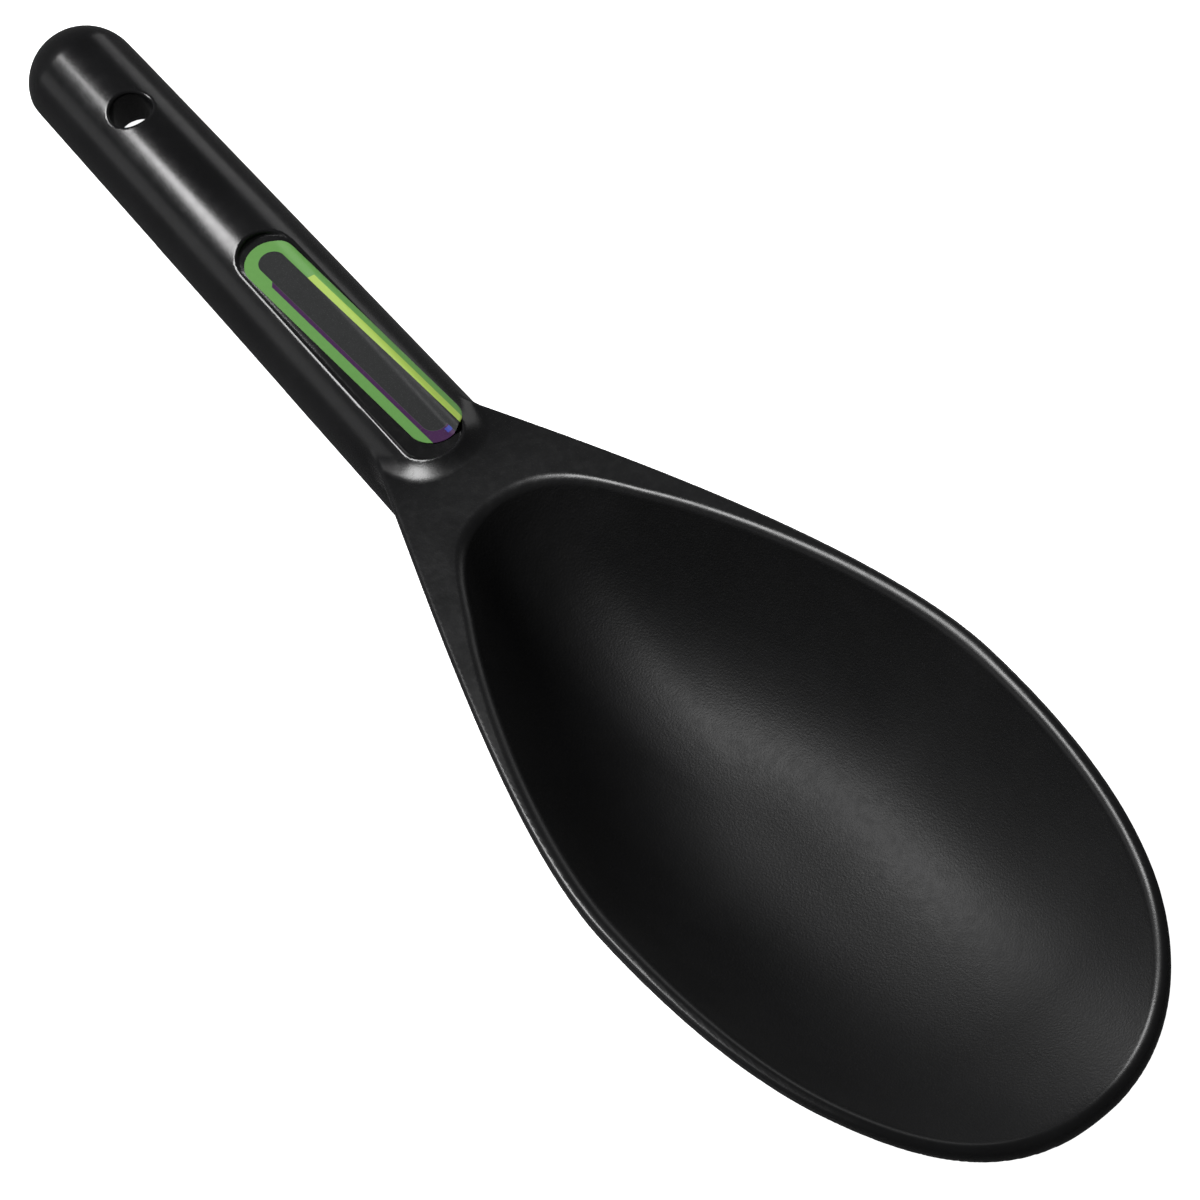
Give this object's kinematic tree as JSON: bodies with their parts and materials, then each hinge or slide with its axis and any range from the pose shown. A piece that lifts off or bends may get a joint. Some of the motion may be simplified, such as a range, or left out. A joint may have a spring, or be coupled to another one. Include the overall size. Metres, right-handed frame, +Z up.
{
  "type": "hand sand scoop",
  "caption": "Long rigid plastic hand scoop for digging beach sand: deep pointed-oval bowl with a raised rim, flat web and straight arched grip with a hanging hole and label.",
  "frame": {"origin": "centre of the bounding box in plan, on the table the scoop lies on", "axes": "+X from the butt of the grip to the lip of the bowl, +Y across the scoop, +Z up out of the bowl"},
  "size_m": [0.3564, 0.0908, 0.0495],
  "materials": {
    "black_moulding": "satin black moulded plastic, fine grain inside the bowl, smoother on the grip and web",
    "label_print": "printed film label with a green border and a dark centre, under a glossy laminate"
  },
  "bodies": {
    "root": {"scoop_body": "black_moulding", "handle_label": "label_print"}
  },
  "joints": []
}
